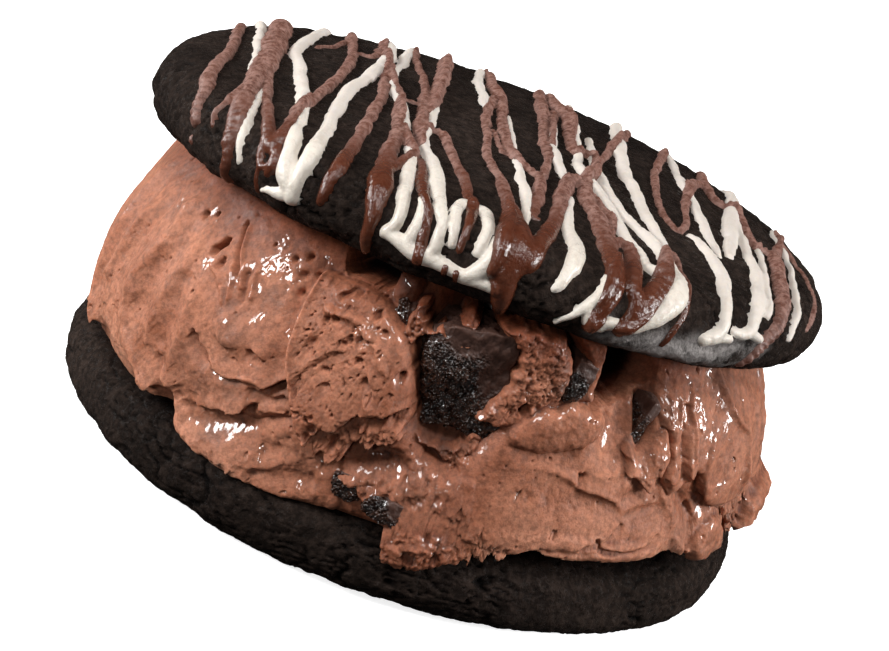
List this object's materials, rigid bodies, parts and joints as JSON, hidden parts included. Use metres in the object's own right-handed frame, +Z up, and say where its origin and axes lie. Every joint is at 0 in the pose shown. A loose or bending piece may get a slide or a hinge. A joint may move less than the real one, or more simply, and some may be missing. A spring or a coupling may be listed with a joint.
{
  "type": "ice cream sandwich",
  "caption": "Round ice cream sandwich: chunky chocolate ice cream with brownie pieces between thick dark cocoa cookies, the top one drizzled.",
  "frame": {"origin": "centre of the bottom cookie's flat underside", "axes": "+Z up through the layers, -Y the front that the brownie block shows on, +X to the right seen from the front"},
  "size_m": [0.0898, 0.0922, 0.0483],
  "materials": {
    "cookie": "matt, crumbly and finely cracked",
    "ice_cream": "soft satin with wet glints where it melts",
    "brownie": "moist and granular",
    "white_drizzle": "satin icing",
    "cocoa_drizzle": "satin, glossy where it runs thick"
  },
  "bodies": {
    "root": {"bottom_cookie": "cookie", "top_cookie": "cookie", "ice_cream": "ice_cream", "brownie_centre": "brownie", "brownie_upper": "brownie", "brownie_beside_lobe": "brownie", "brownie_in_swirl": "brownie", "brownie_low_left": "brownie", "brownie_low_right": "brownie"}
  },
  "joints": []
}
